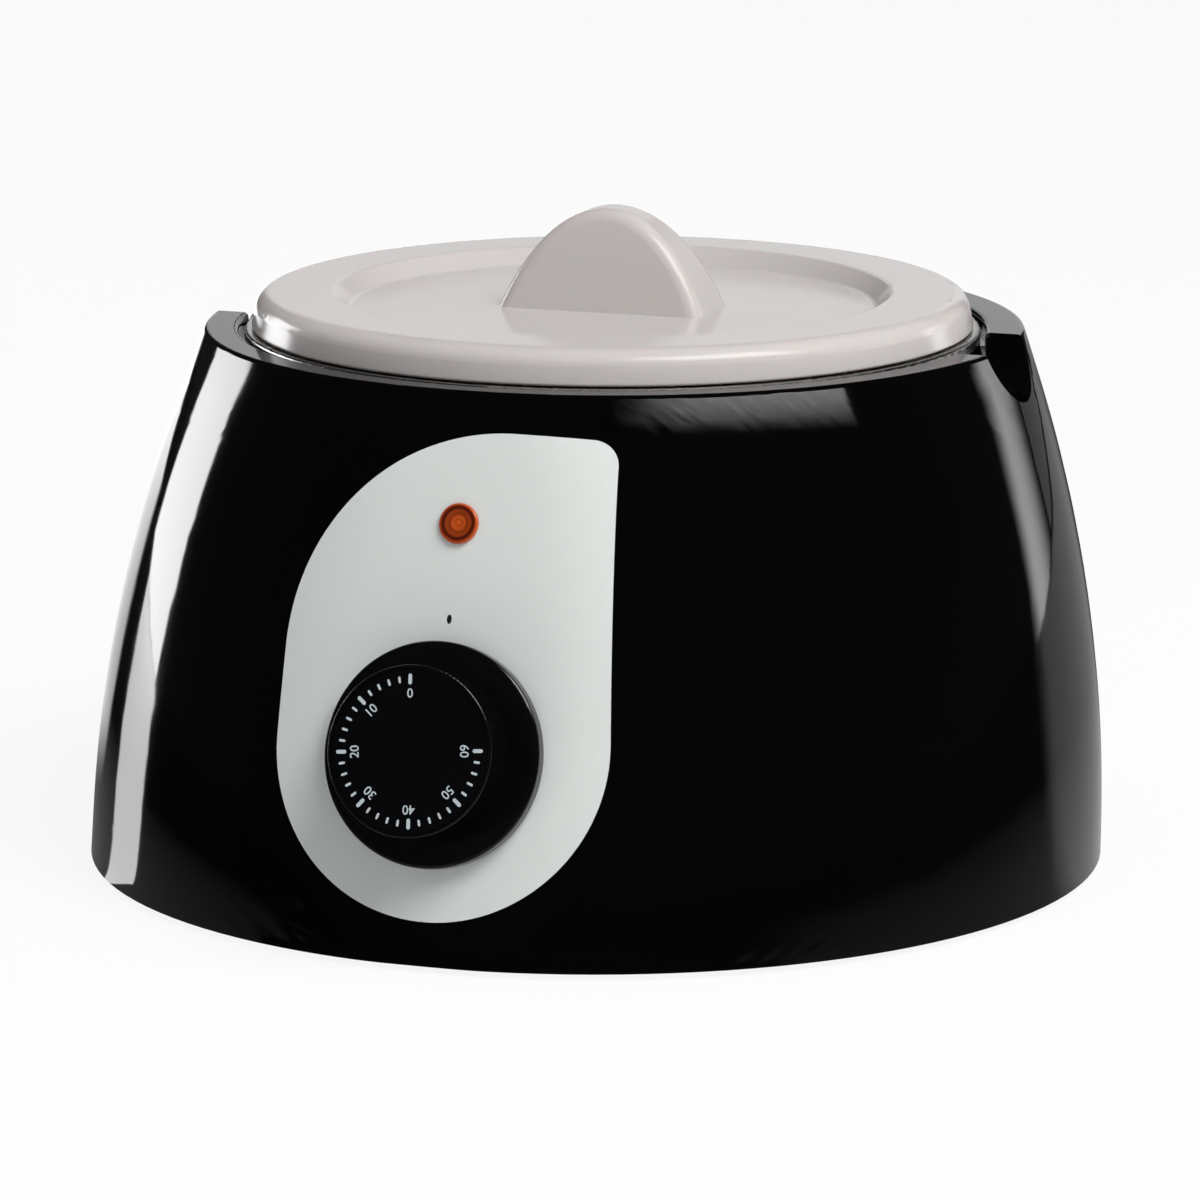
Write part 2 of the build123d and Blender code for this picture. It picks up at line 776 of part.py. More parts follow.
# Knob: skirt, cap and D-bored hub in one moulding
with BuildPart() as knob:
    with BuildSketch(knob_section_plane) as knob_profile:
        with BuildLine():
            Polyline(
                (0, dial_seat),
                (dial_radius + dial_fit, dial_seat),
                (dial_radius + dial_fit, knob_length),
                (cap_radius, knob_length),
                (cap_root_radius, skirt_front),
                (skirt_radius, skirt_front),
                (skirt_radius, knob_gap),
                (skirt_radius - knob_wall, knob_gap),
                (skirt_radius - knob_wall, skirt_front - knob_wall),
                (cap_root_radius - knob_wall, skirt_front - knob_wall),
                (cap_root_radius - knob_wall, dial_seat - knob_wall),
                (0, dial_seat - knob_wall),
                close=True,
            )
        make_face()
        with Locations((0, knob_gap)):
            Rectangle(hub_radius, dial_seat - knob_gap - knob_wall / 2, align=(Align.MIN, Align.MIN))
        fillet(knob_profile.vertices().sort_by_distance(skirt_corner)[0], skirt_edge)
        fillet(knob_profile.vertices().sort_by_distance(cap_corner)[0], cap_edge)
    revolve(axis=knob_axis)
    with BuildSketch(knob_plane.offset(knob_gap)):
        add(shaft_section(shaft_fit))
    extrude(amount=dial_seat - knob_wall - knob_gap, mode=Mode.SUBTRACT)
knob.part.label = "knob"

# Dial disc let into the front of the knob
with BuildPart() as dial_disc:
    with BuildSketch(knob_plane.offset(dial_seat)):
        Circle(dial_radius)
    extrude(amount=dial_thickness)
dial_disc.part.label = "dial_disc"

# Thermostat shaft: round in its bearing, with a flat where the knob grips it
with BuildPart() as thermostat_shaft:
    with BuildSketch(knob_plane.offset(-thermostat_front - thermostat_bearing_depth + shaft_end_play)):
        Circle(shaft_radius)
    extrude(amount=thermostat_front + thermostat_bearing_depth - shaft_end_play)
    with BuildSketch(knob_plane):
        add(shaft_section(0))
    extrude(amount=dial_seat - knob_wall - shaft_tip_gap)
thermostat_shaft.part.label = "thermostat_shaft"

# Steel bridge that carries the thermostat behind the panel
with BuildPart() as thermostat_bridge:
    with BuildSketch(knob_plane.offset(-pad_thickness)):
        RectangleRounded(bridge_width, bridge_height, thermostat_corner)
        Circle(shaft_hole_radius, mode=Mode.SUBTRACT)
        with GridLocations(bridge_screw_spacing, 0, 2, 1):
            Circle(bridge_screw_radius + screw_fit, mode=Mode.SUBTRACT)
    extrude(amount=-bridge_sheet)
thermostat_bridge.part.label = "thermostat_bridge"

# Screws under the knob that hold the bridge
with BuildPart() as bridge_screws:
    with BuildSketch(knob_plane.offset(-bridge_screw_seat)):
        with GridLocations(bridge_screw_spacing, 0, 2, 1):
            Circle(bridge_screw_head)
    extrude(amount=bridge_screw_head_height)
    with BuildSketch(knob_plane.offset(-bridge_screw_seat)):
        with GridLocations(bridge_screw_spacing, 0, 2, 1):
            Circle(bridge_screw_radius)
    extrude(amount=bridge_screw_seat - thermostat_front - bridge_screw_tip)
bridge_screws.part.label = "bridge_screws"

# Thermostat case with the bearing for its shaft
with BuildPart() as thermostat_body:
    with BuildSketch(knob_plane.offset(-thermostat_front)):
        RectangleRounded(thermostat_width, thermostat_height, thermostat_corner)
    extrude(amount=-thermostat_depth)
    with BuildSketch(knob_plane.offset(-thermostat_front)):
        Circle(shaft_radius + shaft_running)
    extrude(amount=-thermostat_bearing_depth, mode=Mode.SUBTRACT)
    with BuildSketch(knob_plane.offset(-thermostat_front)):
        with GridLocations(bridge_screw_spacing, 0, 2, 1):
            Circle(bridge_screw_radius + hole_clearance)
    extrude(amount=-2 * bridge_screw_tip, mode=Mode.SUBTRACT)
thermostat_body.part.label = "thermostat_body"

# Push-on tabs at the back of the thermostat
with BuildPart() as thermostat_tabs:
    with BuildSketch(knob_plane.offset(-thermostat_front - thermostat_depth)):
        with Locations((-tab_spacing / 2, tab_rise), (tab_spacing / 2, tab_rise)):
            Rectangle(tab_sheet, tab_width)
    extrude(amount=-tab_length)
thermostat_tabs.part.label = "thermostat_tabs"

# Pressure capsule of the thermostat
with BuildPart() as diaphragm:
    with BuildSketch(knob_plane.offset(-thermostat_front - thermostat_depth)):
        with Locations((0, -capsule_drop)):
            Circle(capsule_radius)
    extrude(amount=-capsule_length)
    fillet(diaphragm.faces().sort_by(knob_axis)[0].edges(), capsule_length / 3)
diaphragm.part.label = "diaphragm"

# Sensor bulb under the well
with BuildPart() as sensor_bulb:
    with BuildSketch(Plane(origin=(-bulb_probe_length / 2, probe_y, probe_z), z_dir=(1, 0, 0))):
        Circle(bulb_probe_radius)
    extrude(amount=bulb_probe_length)
    fillet(sensor_bulb.edges().filter_by(GeomType.CIRCLE), bulb_probe_radius / 3)
sensor_bulb.part.label = "sensor_bulb"

# Capillary tube from the pressure capsule to the sensor bulb
with BuildPart() as capillary_tube:
    with BuildLine() as tube_path:
        Bezier(tube_start, tube_start + tube_out, tube_end - tube_in, tube_end)
    with BuildSketch(Plane(origin=tube_start, z_dir=tube_out)):
        Circle(capillary_radius)
    sweep(path=tube_path.line)
capillary_tube.part.label = "capillary_tube"

# Saddle clip that presses the bulb to the well
with BuildPart() as bulb_clip:
    with BuildSketch(Plane(origin=(-clip_width / 2, probe_y, 0), x_dir=(0, 1, 0), z_dir=(1, 0, 0))):
        with Locations((0, probe_z)):
            Circle(bulb_probe_radius + probe_seat_gap + clip_sheet)
        with Locations((0, clip_seat_z)):
            Rectangle(2 * (clip_reach + well_boss_radius), clip_sheet, align=(Align.CENTER, Align.MAX))
        with Locations((0, probe_z)):
            Circle(bulb_probe_radius + probe_seat_gap, mode=Mode.SUBTRACT)
        with Locations((0, clip_seat_z)):
            Rectangle(base_radius, base_radius, align=(Align.CENTER, Align.MIN), mode=Mode.SUBTRACT)
    extrude(amount=clip_width)
    with BuildSketch(Plane.XY.offset(clip_seat_z)):
        with Locations(*clip_places):
            Circle(small_screw_radius + hole_clearance)
    extrude(amount=-2 * clip_sheet, mode=Mode.SUBTRACT)
bulb_clip.part.label = "bulb_clip"

# Screws of the clip
with BuildPart() as clip_screws:
    add(small_screws(clip_places, clip_seat_z - clip_sheet, -1))
clip_screws.part.label = "clip_screws"

# Overheat cut-out with its fixing flange
with BuildPart() as thermal_cutout:
    with BuildSketch(Plane.XY.offset(well_bottom_z)):
        with Locations((0, pan_y + cutout_y)):
            Circle(cutout_radius)
    extrude(amount=-cutout_height)
    with BuildSketch(Plane.XY.offset(clip_seat_z)):
        with Locations((0, pan_y + cutout_y)):
            RectangleRounded(cutout_flange_length, cutout_flange_width, cutout_flange_width / 3)
        with Locations(*cutout_places):
            Circle(small_screw_radius + hole_clearance, mode=Mode.SUBTRACT)
    extrude(amount=-clip_sheet)
thermal_cutout.part.label = "thermal_cutout"

# Push-on tabs of the cut-out
with BuildPart() as cutout_tabs:
    with BuildSketch(Plane.XY.offset(well_bottom_z - cutout_height)):
        with Locations((-cutout_radius / 2, pan_y + cutout_y), (cutout_radius / 2, pan_y + cutout_y)):
            Rectangle(tab_sheet, tab_width)
    extrude(amount=-tab_length)
cutout_tabs.part.label = "cutout_tabs"

# Screws of the cut-out
with BuildPart() as cutout_screws:
    add(small_screws(cutout_places, clip_seat_z - clip_sheet, -1))
cutout_screws.part.label = "cutout_screws"

# Label that follows the front of the housing
with BuildPart() as front_label:
    with BuildSketch(knob_plane.offset(-label_reach)):
        add(label_outline())
    extrude(amount=2 * label_reach)
    add(body_form(label_bedding + label_thickness, housing_height), mode=Mode.INTERSECT)
    add(body_form(label_bedding, housing_height), mode=Mode.SUBTRACT)
    with BuildSketch(lamp_plane.offset(-wall)):
        Circle(lamp_barrel_radius + lamp_fit)
    extrude(amount=2 * wall, mode=Mode.SUBTRACT)
front_label.part.label = "front_label"

# Pilot lamp lens: flange on the label and a barrel through the wall
with BuildPart() as lamp_lens:
    with BuildSketch(lamp_plane.offset(lamp_seat)):
        Circle(lamp_radius)
    extrude(amount=lamp_proud)
    fillet(lamp_lens.faces().sort_by(lamp_axis)[-1].edges(), lamp_proud / 2)
    with BuildSketch(lamp_plane.offset(lamp_seat)):
        Circle(lamp_barrel_radius)
    extrude(amount=-lamp_barrel_length)
    with BuildSketch(lamp_plane.offset(lamp_seat - lamp_barrel_length)):
        Circle(lamp_barrel_radius - lamp_wall)
    extrude(amount=lamp_barrel_length - lamp_wall, mode=Mode.SUBTRACT)
lamp_lens.part.label = "lamp_lens"

# Push-on ring that holds the lens
with BuildPart() as lamp_nut:
    with BuildSketch(lamp_plane.offset(-lamp_pad_thickness)):
        Circle(lamp_nut_radius)
        Circle(lamp_barrel_radius + screw_fit, mode=Mode.SUBTRACT)
    extrude(amount=-lamp_nut_thickness)
lamp_nut.part.label = "lamp_nut"

# Cap behind the lens that holds the bulb
with BuildPart() as lamp_holder:
    with BuildSketch(lamp_plane.offset(lamp_end)):
        Circle(holder_radius)
    extrude(amount=holder_overlap)
    with BuildSketch(lamp_plane.offset(lamp_end)):
        Circle(holder_radius)
    extrude(amount=holder_overlap - holder_length)
    with BuildSketch(lamp_plane.offset(lamp_end)):
        Circle(lamp_barrel_radius + screw_fit)
    extrude(amount=holder_overlap, mode=Mode.SUBTRACT)
    with BuildSketch(lamp_plane.offset(lamp_end)):
        Circle(bulb_radius + screw_fit)
    extrude(amount=-bulb_socket, mode=Mode.SUBTRACT)
lamp_holder.part.label = "lamp_holder"

# Neon bulb
with BuildPart() as lamp_bulb:
    with BuildSketch(lamp_plane.offset(lamp_end - bulb_socket)):
        Circle(bulb_radius)
    extrude(amount=bulb_length)
    fillet(lamp_bulb.faces().sort_by(lamp_axis)[-1].edges(), bulb_radius * 0.8)
lamp_bulb.part.label = "lamp_bulb"

# Base plate with its vents
with BuildPart() as base_plate:
    with BuildSketch(Plane.XY.offset(plate_bottom_z)):
        add(section_outline(plate_inset, -wall - plate_fit))
        with Locations(*base_screw_places):
            Circle(screw_radius + hole_clearance, mode=Mode.SUBTRACT)
        with Locations(*foot_places):
            Circle(foot_stem_radius + screw_fit, mode=Mode.SUBTRACT)
        with Locations(*block_screw_places):
            Circle(small_screw_radius + screw_fit, mode=Mode.SUBTRACT)
        with Locations((0, vent_y)):
            with GridLocations(0, vent_pitch, 1, vent_count):
                SlotOverall(vent_length, vent_width, mode=Mode.SUBTRACT)
    extrude(amount=plate_thickness)
base_plate.part.label = "base_plate"

# Push-in rubber feet
with BuildPart() as feet:
    with BuildSketch():
        with Locations(*foot_places):
            Circle(foot_radius)
    extrude(amount=plate_bottom_z)
    fillet(rims_at(feet, 0), foot_edge)
    with BuildSketch(Plane.XY.offset(plate_bottom_z)):
        with Locations(*foot_places):
            Circle(foot_stem_radius)
    extrude(amount=plate_thickness)
    with BuildSketch(Plane.XY.offset(plate_top_z)):
        with Locations(*foot_places):
            Circle(foot_barb_radius)
    extrude(amount=foot_barb_height, taper=30)
feet.part.label = "feet"

# Screws that hold the base plate
with BuildPart() as base_screws:
    with BuildSketch(Plane.XY.offset(plate_bottom_z)):
        with Locations(*base_screw_places):
            Circle(screw_radius)
    extrude(amount=screw_length)
    with BuildSketch(Plane.XY.offset(plate_bottom_z)):
        with Locations(*base_screw_places):
            Circle(screw_head_radius)
    extrude(amount=-screw_head_height)
    fillet(rims_at(base_screws, plate_bottom_z - screw_head_height), screw_head_height / 3)
base_screws.part.label = "base_screws"

# Terminal block on the base plate
with BuildPart() as terminal_block:
    with BuildSketch(Plane.XY.offset(plate_top_z)):
        with Locations((block_x, block_y)):
            Rectangle(block_length, block_width)
    extrude(amount=block_height)
    with BuildSketch(Plane.XY.offset(plate_top_z)):
        with Locations((block_x, block_y)):
            RectangleRounded(block_flange_length, block_width / 2, block_width / 8)
        with Locations(*block_screw_places):
            Circle(small_screw_radius + hole_clearance, mode=Mode.SUBTRACT)
    extrude(amount=block_flange_height)
    with BuildSketch(block_plane):
        with GridLocations(block_pitch, 0, block_poles, 1):
            Circle(block_bore)
    extrude(amount=block_width, both=True, mode=Mode.SUBTRACT)
    with BuildSketch(Plane.XY.offset(plate_top_z + block_height)):
        with Locations((block_x, block_y)):
            with GridLocations(block_pitch, block_width / 2, block_poles, 2):
                Circle(block_bore)
    extrude(amount=-block_height / 2, mode=Mode.SUBTRACT)
terminal_block.part.label = "terminal_block"

# Screws of the terminal block
with BuildPart() as block_screws:
    add(small_screws(block_screw_places, plate_top_z + block_flange_height, 1))
block_screws.part.label = "block_screws"

# Cord gland body: hexagonal collar, thread through the wall and a claw for the seal
with BuildPart() as gland_body:
    with BuildSketch(gland_plane):
        RegularPolygon(gland_hex / 2, 6, major_radius=False)
    extrude(amount=gland_collar)
    with BuildSketch(gland_plane.offset(-gland_thread_length)):
        Circle(gland_thread_radius)
    extrude(amount=gland_thread_length + gland_collar + gland_outer_thread)
    with BuildSketch(gland_plane.offset(-gland_thread_length)):
        Circle(gland_bore_radius)
    extrude(amount=gland_thread_length + gland_collar + gland_outer_thread, mode=Mode.SUBTRACT)
gland_body.part.label = "gland_body"

# Rubber seal squeezed round the cord
with BuildPart() as gland_seal:
    with BuildSketch(gland_plane.offset(gland_collar + gland_outer_thread)):
        Circle(gland_seal_radius)
        Circle(gland_nut_bore, mode=Mode.SUBTRACT)
    extrude(amount=gland_seal_length)
gland_seal.part.label = "gland_seal"

# Domed nut that tightens the seal
with BuildPart() as gland_nut:
    with BuildSketch(gland_plane.offset(gland_collar)):
        Circle(gland_hex / 2 / cos(radians(30)))
    extrude(amount=gland_nut_length)
    fillet(gland_nut.faces().sort_by(Axis.Y)[-1].edges(), gland_nut_round)
    with BuildSketch(gland_plane.offset(gland_collar)):
        RegularPolygon(gland_hex / 2, 6, major_radius=False)
    extrude(amount=gland_nut_length, mode=Mode.INTERSECT)
    with BuildSketch(gland_plane.offset(gland_collar)):
        Circle(gland_thread_radius + screw_fit)
    extrude(amount=gland_outer_thread + gland_seal_length, mode=Mode.SUBTRACT)
    with BuildSketch(gland_plane.offset(gland_collar)):
        Circle(gland_nut_bore)
    extrude(amount=gland_nut_length, mode=Mode.SUBTRACT)
gland_nut.part.label = "gland_nut"

# Lock nut inside the wall
with BuildPart() as gland_lock_nut:
    with BuildSketch(gland_plane.offset(-wall)):
        RegularPolygon(gland_lock_hex / 2, 6, major_radius=False)
        Circle(gland_thread_radius + screw_fit, mode=Mode.SUBTRACT)
    extrude(amount=-gland_lock_thickness)
gland_lock_nut.part.label = "gland_lock_nut"

# Leads: live in, switched to the overheat cut-out, on to the heater, and back to neutral
up = Vector(0, 0, 1)
back = Vector(0, 1, 0)
with BuildPart() as lead_live:
    turns = [Vector(block_x, 0, lead_z), Vector(tab_spacing / 2, lead_front_y, lead_z)]
    add(wire(pole_tips[1], -back, tab_tips[0], knob_plane.z_dir, turns, lead_radius, lead_bend))
lead_live.part.label = "lead_live"

with BuildPart() as lead_switched:
    turns = [Vector(-tab_spacing / 2, lead_front_y, lead_z), Vector(-tab_spacing / 2, 0, lead_z)]
    add(wire(tab_tips[1], -knob_plane.z_dir, cutout_tips[0], up, turns, lead_radius, lead_bend))
lead_switched.part.label = "lead_switched"

with BuildPart() as lead_heater:
    turns = [Vector(cap_tips[0].X, cap_tips[0].Y, lead_z), Vector(-earth_x, pan_y + cutout_y, lead_z)]
    add(wire(cap_tips[0], -up, cutout_tips[1], up, turns, lead_radius, lead_bend))
lead_heater.part.label = "lead_heater"

with BuildPart() as lead_neutral:
    turns = [Vector(cap_tips[1].X, cap_tips[1].Y, lead_z), Vector(0, pole_y, lead_z)]
    add(wire(cap_tips[1], -up, neutral_tip, back, turns, lead_radius, lead_bend))
lead_neutral.part.label = "lead_neutral"

with BuildPart() as lead_earth:
    add(wire(pole_tips[2], -back, earth_tip, up, [], lead_radius, lead_bend))
lead_earth.part.label = "lead_earth"

with BuildPart() as lamp_leads:
    turns = [
        Vector(thermostat_width, lamp_tips[0].Y, lamp_tips[0].Z),
        Vector(thermostat_width, lamp_tips[0].Y, lead_z),
        Vector(lamp_pole_tip.X, lamp_tips[0].Y, lead_z),
        Vector(lamp_pole_tip.X, pan_y, 2 * lead_z),
    ]
    add(wire(lamp_tips[0], Vector(1, 0, 0), lamp_pole_tip, back, turns, lamp_lead_radius, lamp_lead_bend))
    turns = [
        Vector(-thermostat_width, lamp_tips[1].Y, lamp_tips[1].Z),
        Vector(-thermostat_width, tab_tips[1].Y, lamp_tab_tip.Z),
    ]
    add(wire(lamp_tips[1], Vector(-1, 0, 0), lamp_tab_tip, Vector(1, 0, 0), turns, lamp_lead_radius, lamp_lead_bend))
lamp_leads.part.label = "lamp_leads"

# Eye of the earth lead, and the screw that holds it to the well
with BuildPart() as earth_tag:
    with BuildSketch(Plane.XY.offset(clip_seat_z)):
        with Locations(earth_place):
            Circle(earth_tag_radius)
            Rectangle(2 * lead_radius, earth_tag_reach, align=(Align.CENTER, Align.MIN))
            Circle(small_screw_radius + hole_clearance, mode=Mode.SUBTRACT)
    extrude(amount=-clip_sheet)
earth_tag.part.label = "earth_tag"

with BuildPart() as earth_screw:
    add(small_screws([earth_place], clip_seat_z - clip_sheet, -1))
earth_screw.part.label = "earth_screw"

export_step(housing.part, "parts/housing.step")
export_step(pan.part, "parts/pan.step")
export_step(lid.part, "parts/lid.step")
export_step(well_gasket.part, "parts/well_gasket.step")
export_step(heating_well.part, "parts/heating_well.step")
export_step(heater_band.part, "parts/heater_band.step")
export_step(well_screws.part, "parts/well_screws.step")
export_step(knob.part, "parts/knob.step")
export_step(dial_disc.part, "parts/dial_disc.step")
export_step(thermostat_shaft.part, "parts/thermostat_shaft.step")
export_step(thermostat_bridge.part, "parts/thermostat_bridge.step")
export_step(bridge_screws.part, "parts/bridge_screws.step")
export_step(thermostat_body.part, "parts/thermostat_body.step")
export_step(thermostat_tabs.part, "parts/thermostat_tabs.step")
export_step(diaphragm.part, "parts/diaphragm.step")
export_step(sensor_bulb.part, "parts/sensor_bulb.step")
export_step(capillary_tube.part, "parts/capillary_tube.step")
export_step(bulb_clip.part, "parts/bulb_clip.step")
export_step(clip_screws.part, "parts/clip_screws.step")
export_step(thermal_cutout.part, "parts/thermal_cutout.step")
export_step(cutout_tabs.part, "parts/cutout_tabs.step")
export_step(cutout_screws.part, "parts/cutout_screws.step")
export_step(front_label.part, "parts/front_label.step")
export_step(lamp_lens.part, "parts/lamp_lens.step")
export_step(lamp_nut.part, "parts/lamp_nut.step")
export_step(lamp_holder.part, "parts/lamp_holder.step")
export_step(lamp_bulb.part, "parts/lamp_bulb.step")
export_step(base_plate.part, "parts/base_plate.step")
export_step(feet.part, "parts/feet.step")
export_step(base_screws.part, "parts/base_screws.step")
export_step(terminal_block.part, "parts/terminal_block.step")
export_step(block_screws.part, "parts/block_screws.step")
export_step(gland_body.part, "parts/gland_body.step")
export_step(gland_seal.part, "parts/gland_seal.step")
export_step(gland_nut.part, "parts/gland_nut.step")
export_step(gland_lock_nut.part, "parts/gland_lock_nut.step")
export_step(lead_live.part, "parts/lead_live.step")
export_step(lead_switched.part, "parts/lead_switched.step")
export_step(lead_heater.part, "parts/lead_heater.step")
export_step(lead_neutral.part, "parts/lead_neutral.step")
export_step(lead_earth.part, "parts/lead_earth.step")
export_step(lamp_leads.part, "parts/lamp_leads.step")
export_step(earth_tag.part, "parts/earth_tag.step")
export_step(earth_screw.part, "parts/earth_screw.step")
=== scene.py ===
import bpy
import json
from math import atan2, cos, pi, radians, sin
from mathutils import Matrix, Vector


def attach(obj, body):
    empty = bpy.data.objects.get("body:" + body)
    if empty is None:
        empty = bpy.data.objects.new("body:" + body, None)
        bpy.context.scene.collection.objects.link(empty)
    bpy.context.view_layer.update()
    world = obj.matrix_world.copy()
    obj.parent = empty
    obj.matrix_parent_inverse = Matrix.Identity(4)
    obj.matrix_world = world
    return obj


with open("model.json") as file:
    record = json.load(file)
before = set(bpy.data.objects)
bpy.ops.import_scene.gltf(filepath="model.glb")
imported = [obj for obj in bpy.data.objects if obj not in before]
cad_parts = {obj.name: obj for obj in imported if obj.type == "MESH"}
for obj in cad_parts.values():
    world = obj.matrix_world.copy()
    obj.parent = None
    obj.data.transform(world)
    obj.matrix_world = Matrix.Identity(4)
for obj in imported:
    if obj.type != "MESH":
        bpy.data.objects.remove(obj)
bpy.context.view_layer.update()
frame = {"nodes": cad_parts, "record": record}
NODES = frame["nodes"]
MM = 0.001

# ---------------------------------------------------------------- front of the housing, as the CAD has it
FOOT_GAP, HEIGHT, BASE_R, RIM_R, SETBACK, FLAT_EDGE, FLAT_WAIST = 1.5, 123.0, 120.0, 96.5, 13.5, 0.4, 4.0
LAMP_H, DOT_H, KNOB_H = 94.8, 74.5, 45.4
LABEL_FACE, DIAL_FACE = 0.34, 17.95


def front_y(h):
    share = h / HEIGHT
    radius = BASE_R - (BASE_R - RIM_R) * share**2
    return SETBACK * share - radius + FLAT_EDGE + 4 * (FLAT_WAIST - FLAT_EDGE) * share * (1 - share)


def panel_matrix(h, out=0.0):
    """Local x right, y up the panel, z out of it, origin on the surface at height h, in metres."""
    lean = atan2(front_y(h + 0.5) - front_y(h - 0.5), 1.0)
    x = Vector((1, 0, 0))
    z = Vector((0, -cos(lean), sin(lean)))
    y = z.cross(x)
    origin = Vector((0, front_y(h), FOOT_GAP + h)) + z * out
    m = Matrix((x, y, z)).transposed().to_4x4()
    m.translation = origin * MM
    return m


# ---------------------------------------------------------------- material tools
def new_material(name):
    mat = bpy.data.materials.new(name)
    mat.use_nodes = True
    tree = mat.node_tree
    return mat, tree, tree.nodes["Principled BSDF"]


def empty_tree(owner, output):
    """Clears the owner's nodes and returns its tree with a new output node."""
    owner.use_nodes = True
    tree = owner.node_tree
    tree.nodes.clear()
    return tree, tree.nodes.new(output)


def link(tree, a, b):
    tree.links.new(a, b)


def maths(tree, operation, a, b=0.0):
    node = tree.nodes.new("ShaderNodeMath")
    node.operation = operation
    for socket, value in zip(node.inputs, (a, b)):
        if isinstance(value, (int, float)):
            socket.default_value = value
        else:
            link(tree, value, socket)
    return node.outputs["Value"]


def vector_maths(tree, operation, a, b=None):
    node = tree.nodes.new("ShaderNodeVectorMath")
    node.operation = operation
    link(tree, a, node.inputs[0])
    if b is not None:
        node.inputs[1].default_value = b
    return node.outputs


def position(tree, output="Object"):
    return tree.nodes.new("ShaderNodeTexCoord").outputs[output]


def axes(tree, vector):
    parts = tree.nodes.new("ShaderNodeSeparateXYZ")
    link(tree, vector, parts.inputs[0])
    return parts.outputs


def noise(tree, scale, detail=3.0, stretch=None):
    where = position(tree)
    if stretch:
        mapping = tree.nodes.new("ShaderNodeMapping")
        mapping.inputs["Scale"].default_value = stretch
        link(tree, where, mapping.inputs["Vector"])
        where = mapping.outputs["Vector"]
    n = tree.nodes.new("ShaderNodeTexNoise")
    n.inputs["Scale"].default_value = scale
    n.inputs["Detail"].default_value = detail
    link(tree, where, n.inputs["Vector"])
    return n.outputs["Fac"]


def ramp(tree, source, low, high, start=0.3, end=0.7):
    r = tree.nodes.new("ShaderNodeMapRange")
    r.inputs["From Min"].default_value = start
    r.inputs["From Max"].default_value = end
    r.inputs["To Min"].default_value = low
    r.inputs["To Max"].default_value = high
    link(tree, source, r.inputs["Value"])
    return r.outputs["Result"]


def mix_colour(tree, fac, a, b):
    m = tree.nodes.new("ShaderNodeMix")
    m.data_type = "RGBA"
    m.inputs["A"].default_value = (*a, 1)
    m.inputs["B"].default_value = (*b, 1)
    link(tree, fac, m.inputs["Factor"])
    return m.outputs["Result"]


def bump(tree, shader, source, distance, strength=1.0):
    b = tree.nodes.new("ShaderNodeBump")
    b.inputs["Distance"].default_value = distance
    b.inputs["Strength"].default_value = strength
    link(tree, source, b.inputs["Height"])
    link(tree, b.outputs["Normal"], shader.inputs["Normal"])


def dress(tree, shader, colour, rough, **fixed):
    """Links colour and roughness and sets the named sockets, with _ for a space."""
    link(tree, colour, shader.inputs["Base Color"])
    link(tree, rough, shader.inputs["Roughness"])
    for socket, value in fixed.items():
        shader.inputs[socket.replace("_", " ")].default_value = value


def plastic(name, colour, colour_b, rough, spread, grain, depth, **fixed):
    """Moulded plastic: faint mottling, roughness that wanders, and a fine moulded surface."""
    mat, tree, shader = new_material(name)
    wide = noise(tree, 14.0)
    dress(tree, shader, mix_colour(tree, wide, colour, colour_b), ramp(tree, wide, rough, rough + spread),
          **fixed)
    bump(tree, shader, noise(tree, grain, 4.0), depth)
    return mat


def metal(name, colour, colour_b, rough, spread, stretch=(1, 1, 1), grain=900.0, depth=2e-6):
    """Metal with drawn or brushed streaks along the less stretched axes."""
    mat, tree, shader = new_material(name)
    streaks = noise(tree, grain, 5.0, stretch)
    dress(tree, shader, mix_colour(tree, streaks, colour, colour_b),
          ramp(tree, streaks, rough, rough + spread), Metallic=1.0)
    bump(tree, shader, streaks, depth)
    return mat


M = {}
M["housing_black"] = plastic(
    "housing_black", (0.0006, 0.0006, 0.0009), (0.0012, 0.0012, 0.0015), 0.045, 0.03, 260.0, 2e-6,
    IOR=1.5)

SHOULDER_START, SHOULDER_BEND = 0.1125, 6.2


def round_shoulder(material):
    """Shades the wall above the shoulder's start as if it curved gently inwards up to the rim."""
    tree = material.node_tree
    shader = tree.nodes["Principled BSDF"]
    above = maths(tree, "SUBTRACT", axes(tree, position(tree))["Z"], SHOULDER_START)
    above = maths(tree, "MAXIMUM", above, 0.0)
    height = maths(tree, "MULTIPLY", maths(tree, "MULTIPLY", above, above), -SHOULDER_BEND)
    fine = shader.inputs["Normal"].links[0].from_node
    curve = tree.nodes.new("ShaderNodeBump")
    curve.inputs["Distance"].default_value = 1.0
    link(tree, height, curve.inputs["Height"])
    link(tree, curve.outputs["Normal"], fine.inputs["Normal"])


round_shoulder(M["housing_black"])
M["lid_grey"] = plastic(
    "lid_grey", (0.59, 0.55, 0.535), (0.63, 0.59, 0.575), 0.12, 0.06, 500.0, 4e-6,
    IOR=1.48, Subsurface_Weight=0.15, Subsurface_Scale=0.004)
M["label_grey"] = plastic(
    "label_grey", (0.68, 0.71, 0.685), (0.74, 0.77, 0.745), 0.32, 0.08, 1800.0, 3e-6, IOR=1.45)
M["knob_black"] = plastic(
    "knob_black", (0.0015, 0.0015, 0.002), (0.003, 0.003, 0.0035), 0.09, 0.05, 2200.0, 2e-6, IOR=1.5,
    Specular_IOR_Level=0.8)
M["dial_black"] = plastic(
    "dial_black", (0.0015, 0.0015, 0.002), (0.003, 0.003, 0.0035), 0.22, 0.06, 2600.0, 3e-6, IOR=1.4)
M["rubber_black"] = plastic(
    "rubber_black", (0.012, 0.012, 0.012), (0.022, 0.022, 0.021), 0.6, 0.2, 900.0, 2e-5)
M["base_black"] = plastic(
    "base_black", (0.01, 0.01, 0.011), (0.018, 0.018, 0.019), 0.5, 0.15, 1200.0, 1e-5)
